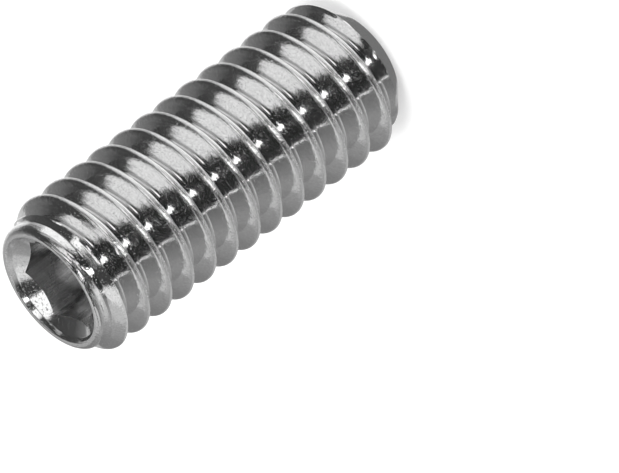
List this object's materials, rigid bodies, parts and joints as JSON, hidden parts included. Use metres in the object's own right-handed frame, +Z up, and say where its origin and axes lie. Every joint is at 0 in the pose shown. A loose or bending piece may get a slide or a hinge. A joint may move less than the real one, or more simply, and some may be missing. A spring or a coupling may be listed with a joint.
{
  "type": "hexagon socket set screw",
  "caption": "Headless set screw with a hexagon socket in one end, a flat point at the other and a coarse right-hand thread along its whole length.",
  "frame": {"origin": "centre of the flat point's face, on which the screw stands", "axes": "+Z up the screw's axis from the point to the socket, +X through a corner of the hexagon"},
  "size_m": [0.0038, 0.0038, 0.0099],
  "materials": {
    "steel": "bright plated, polished"
  },
  "bodies": {
    "root": {"set_screw": "steel"}
  },
  "joints": []
}
